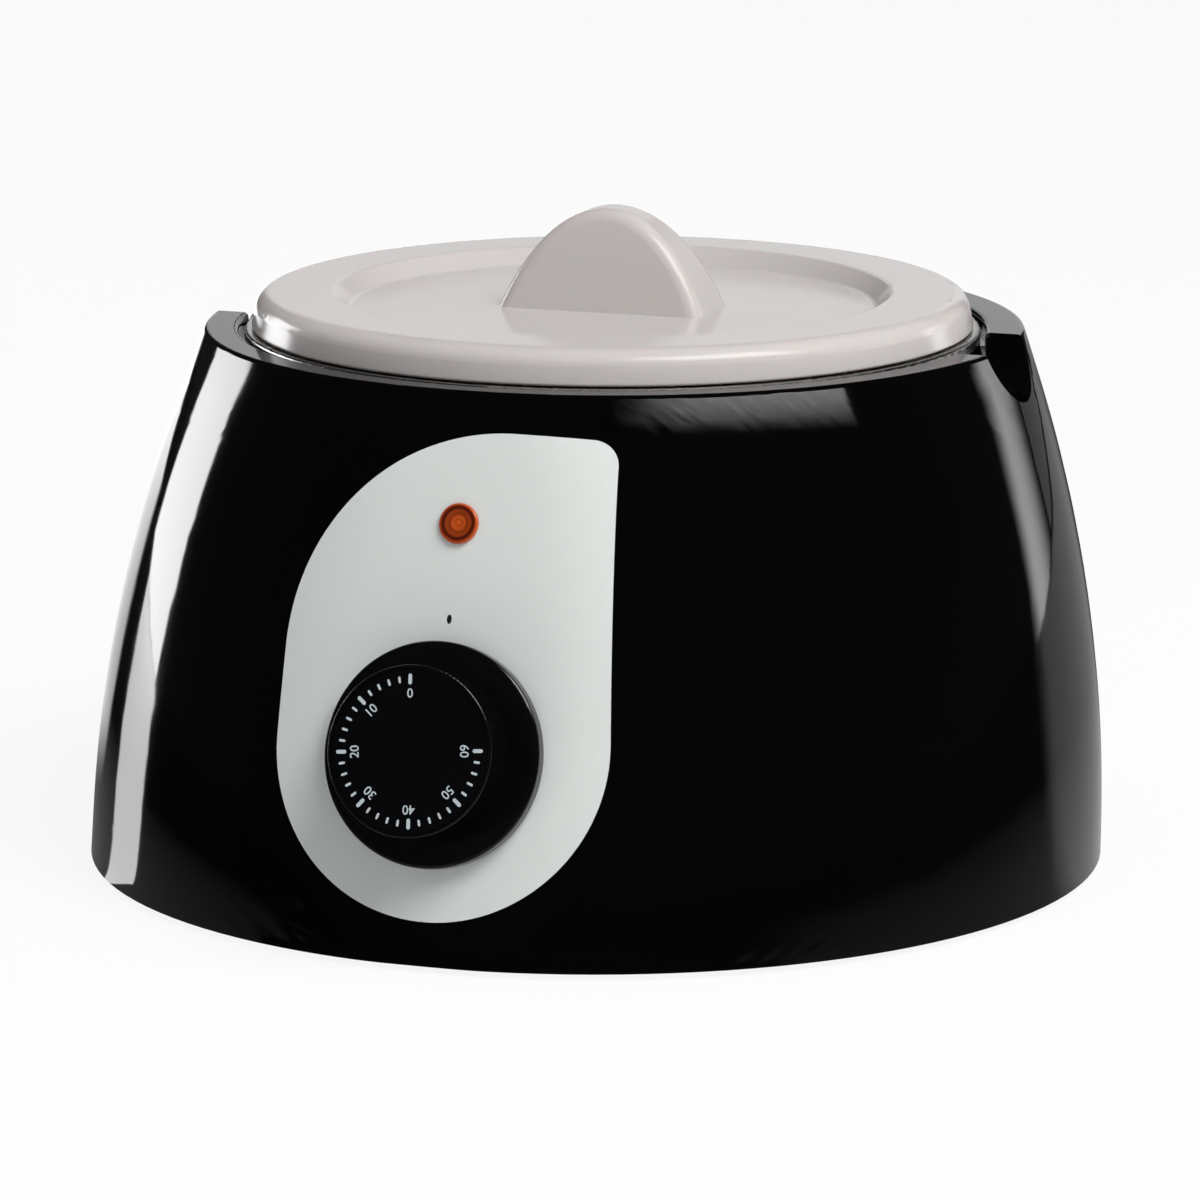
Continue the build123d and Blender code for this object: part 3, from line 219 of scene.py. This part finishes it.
M["gland_black"] = plastic(
    "gland_black", (0.013, 0.013, 0.014), (0.022, 0.022, 0.023), 0.4, 0.12, 1200.0, 8e-6)
M["case_grey"] = plastic(
    "case_grey", (0.09, 0.09, 0.095), (0.13, 0.13, 0.135), 0.45, 0.15, 1000.0, 1e-5)
M["case_white"] = plastic(
    "case_white", (0.72, 0.72, 0.69), (0.8, 0.8, 0.77), 0.4, 0.12, 900.0, 8e-6)
M["lead_brown"] = plastic("lead_brown", (0.10, 0.035, 0.012), (0.14, 0.05, 0.02), 0.4, 0.15, 900.0, 6e-6)
M["lead_blue"] = plastic("lead_blue", (0.02, 0.07, 0.32), (0.03, 0.10, 0.40), 0.4, 0.15, 900.0, 6e-6)
M["lead_green"] = plastic("lead_green", (0.10, 0.32, 0.03), (0.45, 0.50, 0.03), 0.4, 0.15, 60.0, 6e-6)
M["lamp_lead"] = plastic("lamp_lead", (0.38, 0.05, 0.03), (0.48, 0.08, 0.05), 0.6, 0.15, 1500.0, 2e-5)
M["steel"] = metal("steel", (0.46, 0.47, 0.45), (0.58, 0.59, 0.57), 0.2, 0.1, (1, 1, 8), 220.0, 5e-7)
M["aluminium"] = metal(
    "aluminium", (0.62, 0.62, 0.61), (0.74, 0.74, 0.73), 0.38, 0.2, (1, 1, 1), 700.0, 8e-6)
M["band_steel"] = metal("band_steel", (0.42, 0.41, 0.39), (0.55, 0.54, 0.52), 0.3, 0.2, (1, 1, 8), 500.0)
M["screw_steel"] = metal(
    "screw_steel", (0.5, 0.5, 0.48), (0.66, 0.65, 0.62), 0.25, 0.15, (1, 1, 1), 1500.0)
M["brass"] = metal("brass", (0.55, 0.40, 0.16), (0.68, 0.52, 0.24), 0.25, 0.15, (1, 1, 1), 1200.0)
M["copper"] = metal("copper", (0.60, 0.28, 0.16), (0.72, 0.38, 0.24), 0.25, 0.2, (8, 1, 1), 600.0)

LENS_RING_PITCH = 1.4 * MM


def amber():
    """Amber lamp lens: rings moulded round its axis, with painted light: a painted glow in the middle, a
    darker zone between and a painted highlight round the rim.
    """
    mat, tree, shader = new_material("lamp_amber")
    lamp = panel_matrix(LAMP_H)
    away = vector_maths(tree, "SUBTRACT", position(tree), lamp.translation)["Vector"]
    cross = vector_maths(tree, "CROSS_PRODUCT", away, lamp.col[2].to_3d())["Vector"]
    radius = vector_maths(tree, "LENGTH", cross)["Value"]
    wave = maths(tree, "COSINE", maths(tree, "MULTIPLY", radius, 2 * pi / LENS_RING_PITCH))
    rings = ramp(tree, wave, 0.0, 1.0, -1.0, 1.0)
    # painted glow: the lens colour is lighter towards its middle
    middle = ramp(tree, radius, 0.8, 0.0, 0.0006, 0.0034)
    # painted highlight: the lens colour is lighter in a ring at its rim
    rim = ramp(tree, radius, 0.0, 1.1, 0.0039, 0.0047)
    # colour tone from the moulded rings plus the painted glow and painted highlight
    rings_and_painted_light = maths(tree, "ADD", maths(tree, "MULTIPLY", rings, 0.28), maths(tree, "ADD", middle, rim))
    dress(tree, shader, mix_colour(tree, rings_and_painted_light, (0.07, 0.007, 0.002), (0.58, 0.088, 0.010)),
          ramp(tree, wave, 0.12, 0.22, -1.0, 1.0), IOR=1.49, Subsurface_Weight=0.25,
          Subsurface_Scale=0.002, Coat_Weight=0.6, Coat_Roughness=0.05)
    bump(tree, shader, rings, 0.00022, 0.6)
    return mat


def bulb_glass():
    mat, tree, shader = new_material("bulb_glass")
    colour = mix_colour(tree, noise(tree, 400.0), (0.9, 0.75, 0.6), (0.95, 0.85, 0.75))
    dress(tree, shader, colour, ramp(tree, noise(tree, 900.0), 0.02, 0.08), Transmission_Weight=0.9)
    return mat


def ink(name, colour, colour_b):
    mat, tree, shader = new_material(name)
    dress(tree, shader, mix_colour(tree, noise(tree, 3000.0), colour, colour_b),
          ramp(tree, noise(tree, 1500.0), 0.4, 0.6))
    return mat


M["lamp_amber"] = amber()
M["bulb_glass"] = bulb_glass()
WHITE_INK = ink("dial_white_ink", (0.47, 0.54, 0.57), (0.55, 0.62, 0.65))
BLACK_INK = ink("label_black_ink", (0.008, 0.008, 0.009), (0.015, 0.015, 0.016))

slots = {entry["node"]: entry["material_slot"] for entry in frame["record"]["subparts"]}
for name, node in NODES.items():
    for material_slot in node.material_slots:
        material_slot.material = M[slots[name]]


# ---------------------------------------------------------------- dial ticks and numerals
SCALE_TURN, TICK_STEP, TICK_COUNT, TICKS_PER_NUMBER = radians(4.6), radians(9), 31, 5
TICK_RADIUS, MAJOR_TICK, MINOR_TICK = 15.9, (2.4, 0.84), (1.5, 0.55)
TICK_LIFT, TICK_TOP, TICK_END_STEPS = 0.01, 0.04, 5
NUMERAL_RADIUS, NUMERAL_SIZE, NUMERAL_LIFT = 12.7, 2.9, 0.03
NUMERAL_BOLDNESS, NUMERAL_DEPTH = 0.02, 0.015
dial = panel_matrix(KNOB_H, DIAL_FACE)


def prism(outline, low, high):
    """Points and faces of a flat piece with the given outline between two heights."""
    n = len(outline)
    points = [(x, y, z) for z in (low, high) for x, y in outline]
    sides = [list(range(n, 2 * n)), list(range(n - 1, -1, -1))]
    sides += [[k, (k + 1) % n, n + (k + 1) % n, n + k] for k in range(n)]
    return points, sides


def bar(angle, length, width):
    """A printed bar with rounded ends that points at the dial's centre."""
    half, r = length / 2, width / 2
    outline = []
    for end in (1, -1):
        for k in range(TICK_END_STEPS + 1):
            t = pi / 2 - pi * k / TICK_END_STEPS
            x = r * sin(-t) * end
            y = TICK_RADIUS + end * (half - r) + end * r * cos(t)
            outline.append((x * cos(angle) - y * sin(angle), x * sin(angle) + y * cos(angle)))
    return prism(outline, TICK_LIFT, TICK_TOP)


def mesh_piece(name, verts, faces, matrix, material, body):
    mesh = bpy.data.meshes.new(name)
    mesh.from_pydata([tuple(matrix @ (Vector(point) * MM)) for point in verts], [], faces)
    mesh.update()
    obj = bpy.data.objects.new(name, mesh)
    bpy.context.scene.collection.objects.link(obj)
    obj.data.materials.append(material)
    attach(obj, body)


verts, faces = [], []
for step in range(TICK_COUNT):
    size = MINOR_TICK if step % TICKS_PER_NUMBER else MAJOR_TICK
    points, sides = bar(SCALE_TURN + TICK_STEP * step, *size)
    faces += [[index + len(verts) for index in side] for side in sides]
    verts += points
mesh_piece("dial_ticks", verts, faces, dial, WHITE_INK, "knob")

for step in range(0, TICK_COUNT, TICKS_PER_NUMBER):
    number = 2 * step
    curve = bpy.data.curves.new("dial_number_%d" % number, "FONT")
    curve.body = str(number)
    curve.size = NUMERAL_SIZE * MM
    curve.align_x = "CENTER"
    curve.align_y = "CENTER"
    curve.extrude = NUMERAL_DEPTH * MM
    curve.offset = NUMERAL_BOLDNESS * MM
    text = bpy.data.objects.new(curve.name, curve)
    bpy.context.scene.collection.objects.link(text)
    place = Matrix.Translation((0, NUMERAL_RADIUS * MM, NUMERAL_LIFT * MM))
    text.matrix_world = dial @ Matrix.Rotation(SCALE_TURN + TICK_STEP * step, 4, "Z") @ place
    curve.materials.append(WHITE_INK)
    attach(text, "knob")

# ---------------------------------------------------------------- pointer dot printed on the label
DOT_RADII, DOT_CORNERS, DOT_DEPTH = (0.56, 1.05), 24, 0.02
turns = [2 * pi * k / DOT_CORNERS for k in range(DOT_CORNERS)]
verts, faces = prism([(DOT_RADII[0] * cos(t), DOT_RADII[1] * sin(t)) for t in turns], 0.0, DOT_DEPTH)
mesh_piece("pointer_dot", verts, faces, panel_matrix(DOT_H, LABEL_FACE), BLACK_INK, "housing")


# ---------------------------------------------------------------- floor and room
FLOOR_RADIUS, FLOOR_CORNERS, FLOOR_GREY = 12, 64, 0.86
FLOOR_GLOW_SEEN = 0.9
MIRRORED_NEAR, MIRRORED_FAR, NEAR_RADIUS, FAR_RADIUS = 0.16, 0.01, 0.13, 0.30
ROOM_LIGHT, ROOM_MIRRORED = 0.26, 0.02


def stage_mesh(name, verts, faces, material):
    mesh = bpy.data.meshes.new(name)
    mesh.from_pydata(verts, [], faces)
    obj = bpy.data.objects.new(name, mesh)
    bpy.context.scene.collection.objects.link(obj)
    obj.data.materials.append(material)
    return obj


def ray_kinds(tree):
    """Whether a ray sees the stage directly (1) or not (0), and the same for mirrored rays."""
    path = tree.nodes.new("ShaderNodeLightPath").outputs
    return maths(tree, "MAXIMUM", path["Is Camera Ray"], path["Is Transmission Ray"]), path["Is Glossy Ray"]


def floor_material():
    """White sheet that keeps the object's shadow and falls off into the dark studio in reflections."""
    mat = bpy.data.materials.new("floor_white")
    tree, out = empty_tree(mat, "ShaderNodeOutputMaterial")
    diffuse = tree.nodes.new("ShaderNodeBsdfDiffuse")
    diffuse.inputs["Color"].default_value = (FLOOR_GREY, FLOOR_GREY, FLOOR_GREY, 1)
    glow = tree.nodes.new("ShaderNodeEmission")
    direct, mirrored = ray_kinds(tree)
    distance = vector_maths(tree, "LENGTH", position(tree))["Value"]
    near = ramp(tree, distance, MIRRORED_NEAR, MIRRORED_FAR, NEAR_RADIUS, FAR_RADIUS)
    strength = maths(tree, "ADD", direct, maths(tree, "MULTIPLY", mirrored, near))
    link(tree, strength, glow.inputs["Strength"])
    share = maths(tree, "MAXIMUM", maths(tree, "MULTIPLY", direct, FLOOR_GLOW_SEEN), mirrored)
    mix = tree.nodes.new("ShaderNodeMixShader")
    link(tree, share, mix.inputs["Fac"])
    link(tree, diffuse.outputs["BSDF"], mix.inputs[1])
    link(tree, glow.outputs["Emission"], mix.inputs[2])
    link(tree, mix.outputs["Shader"], out.inputs["Surface"])
    return mat


turns = [2 * pi * k / FLOOR_CORNERS for k in range(FLOOR_CORNERS)]
stage_mesh("floor", [(FLOOR_RADIUS * cos(t), FLOOR_RADIUS * sin(t), 0) for t in turns],
           [list(range(FLOOR_CORNERS))], floor_material())

world = bpy.data.worlds.new("studio")
bpy.context.scene.world = world
tree, out = empty_tree(world, "ShaderNodeOutputWorld")
direct, mirrored = ray_kinds(tree)
room = tree.nodes.new("ShaderNodeBackground")
room.inputs["Color"].default_value = (0.97, 0.98, 1.0, 1)
dim = ramp(tree, mirrored, ROOM_LIGHT, ROOM_MIRRORED, 0.0, 1.0)
link(tree, maths(tree, "MAXIMUM", direct, dim), room.inputs["Strength"])
link(tree, room.outputs["Background"], out.inputs["Surface"])


# ---------------------------------------------------------------- lamps
AIM = Vector((0, 0, 0.08))
SHEET_STEPS = 12


def away_from(azimuth, elevation):
    """Direction from the object: azimuth 0 is in front (-Y), positive towards +X."""
    a, e = radians(azimuth), radians(elevation)
    return Vector((sin(a) * cos(e), -cos(a) * cos(e), sin(e)))


def softbox(name, azimuth, elevation, distance, width, height, radiance):
    """Rectangular lamp that faces the object's middle and isn't mirrored."""
    light = bpy.data.lights.new(name, "AREA")
    light.shape = "RECTANGLE"
    light.size = width
    light.size_y = height
    light.energy = radiance * pi * width * height
    lamp = bpy.data.objects.new(name, light)
    bpy.context.scene.collection.objects.link(lamp)
    away = away_from(azimuth, elevation)
    lamp.location = AIM + away * distance
    lamp.rotation_euler = away.to_track_quat("Z", "Y").to_euler()
    lamp.visible_glossy = False


def sheet_material(name, radiance, fades, starts, clear):
    """Emission with soft edges over u and v, added to what lies behind it where it is clear."""
    mat = bpy.data.materials.new(name)
    tree, out = empty_tree(mat, "ShaderNodeOutputMaterial")
    glow = tree.nodes.new("ShaderNodeEmission")
    along = axes(tree, position(tree, "UV"))
    strength = radiance
    for side, share in enumerate(fades):
        axis, high = divmod(side, 2)
        fade = tree.nodes.new("ShaderNodeMapRange")
        fade.interpolation_type = "SMOOTHSTEP"
        fade.inputs["From Min"].default_value = 1.0 if high else 0.0
        fade.inputs["From Max"].default_value = 1.0 - share if high else share
        link(tree, along["XY"[axis]], fade.inputs["Value"])
        strength = maths(tree, "MULTIPLY", fade.outputs["Result"], strength)
    for axis, start in enumerate(starts):
        strength = maths(tree, "MULTIPLY", ramp(tree, along["XY"[axis]], start, 1.0, 0.0, 1.0), strength)
    link(tree, strength, glow.inputs["Strength"])
    light = glow.outputs["Emission"]
    if clear:
        both = tree.nodes.new("ShaderNodeAddShader")
        link(tree, light, both.inputs[0])
        link(tree, tree.nodes.new("ShaderNodeBsdfTransparent").outputs["BSDF"], both.inputs[1])
        light = both.outputs["Shader"]
    link(tree, light, out.inputs["Surface"])
    return mat


def light_sheet(name, place, radiance, fades, starts, glossy_only=False):
    """Sheet of light with soft edges that the camera sees past.

    place(u, v) gives its points; fades: the shares of u and v over which it reaches full
    strength, from low u, high u, low v and high v; starts: its strength at low u and low v.
    """
    row = SHEET_STEPS + 1
    grid = [(i / SHEET_STEPS, j / SHEET_STEPS) for i in range(row) for j in range(row)]
    firsts = [i * row + j for i in range(SHEET_STEPS) for j in range(SHEET_STEPS)]
    faces = [[first, first + 1, first + row + 1, first + row] for first in firsts]
    mat = sheet_material(name, radiance, fades, starts, clear=glossy_only)
    sheet = stage_mesh(name, [place(u, v) for u, v in grid], faces, mat)
    layer = sheet.data.uv_layers.new(name="UVMap")
    for loop in sheet.data.loops:
        layer.data[loop.index].uv = grid[loop.vertex_index]
    sheet.visible_camera = False
    sheet.visible_shadow = False
    if glossy_only:
        sheet.visible_diffuse = False
        sheet.visible_transmission = False


def card(name, azimuths, elevations, distance, radiance, degrees, starts=(1.0, 1.0), low_edge=None):
    """Part of a dome of light that spans the given directions.

    degrees: how far each edge fades; low_edge(azimuth) gives the lower edge where it isn't level.
    """
    spans = (azimuths[1] - azimuths[0], elevations[1] - elevations[0])

    def place(u, v):
        azimuth = azimuths[0] + spans[0] * u
        low = low_edge(azimuth) if low_edge else elevations[0]
        return AIM + away_from(azimuth, low + (elevations[1] - low) * v) * distance

    fades = [width / spans[side // 2] for side, width in enumerate(degrees)]
    light_sheet(name, place, radiance, fades, starts)


def streak(name, near, far, radiance, fades, starts=(1.0, 1.0), height=0.6):
    """What the table mirrors of a lamp: a flat piece from the near edge (two points) to the far one."""

    def place(u, v):
        a = Vector(near[0]).lerp(Vector(near[1]), u)
        b = Vector(far[0]).lerp(Vector(far[1]), u)
        spot = a.lerp(b, v)
        return Vector((spot.x, spot.y, height)) * MM

    light_sheet(name, place, radiance, fades, starts, glossy_only=True)


def key_low_edge(azimuth):
    return 43 - 0.0022 * (azimuth - 10) ** 2


card("left_strip", (-124.5, -103), (-2.25, 21), 2.0, 7.6, (0.8, 0.8, 0.1, 5), starts=(0.5, 1.0))
streak("left_streak", ((-94, -72), (-108, -78)), ((-1720, 1001), (-1930, 434)), 6.6,
       (0.04, 0.04, 0.001, 0.001), starts=(0.5, 0.62))
streak("left_limb", ((-109, 29), (-158, 3)), ((-376, 1930), (-1596, 1276)), 2.6,
       (0.3, 0.1, 0.07, 0.2), starts=(1.0, 0.3), height=0.8)
card("right_band", (135.5, 155), (-2.1, 21), 2.2, 2.5, (6.5, 13, 0.1, 6))
card("right_haze", (147, 176), (-2.1, 24), 2.3, 0.24, (8, 5, 0.1, 8))
streak("right_streak", ((119, -22), (95, 85)), ((1500, 1470), (-250, 2100)), 0.34,
       (0.15, 0.25, 0.001, 0.001))
card("backdrop", (180, 214), (-1.75, 28), 2.6, 0.7, (3, 6, 0.1, 8))
streak("backdrop_streak", ((40, 125), (-120, 80)), ((50, 2500), (-1700, 1950)), 0.5,
       (0.1, 0.1, 0.9, 0.001), height=1.0)
card("key", (16, 92.5), (38, 68), 2.4, 5.4, (30, 1.2, 9, 8), low_edge=key_low_edge)
softbox("overhead", 60, 50, 1.9, 1.0, 0.9, 6.9)

# ---------------------------------------------------------------- camera
FRAME_PX, SENSOR = 1200, 36.0
CAM_AZ, CAM_EL, CAM_DIST, CAM_F = radians(19.0), radians(12.19), 1.54986, 6500.0
CENTRE_PX = (595.95, 840.19)
back = Vector((sin(CAM_AZ) * cos(CAM_EL), -cos(CAM_AZ) * cos(CAM_EL), sin(CAM_EL)))
right = Vector((cos(CAM_AZ), sin(CAM_AZ), 0))
up = back.cross(right)
place = back * CAM_DIST
place -= right * (CENTRE_PX[0] - FRAME_PX / 2) * CAM_DIST / CAM_F
place += up * (CENTRE_PX[1] - FRAME_PX / 2) * CAM_DIST / CAM_F
place.z += FOOT_GAP * MM
camera_data = bpy.data.cameras.new("camera")
camera_data.sensor_width = SENSOR
camera_data.lens = SENSOR * CAM_F / FRAME_PX
camera_data.clip_end = 50.0
camera = bpy.data.objects.new("camera", camera_data)
bpy.context.scene.collection.objects.link(camera)
basis = Matrix((right, up, back)).transposed().to_4x4()
basis.translation = place
camera.matrix_world = basis
bpy.context.scene.camera = camera
bpy.context.scene.view_settings.view_transform = "Standard"
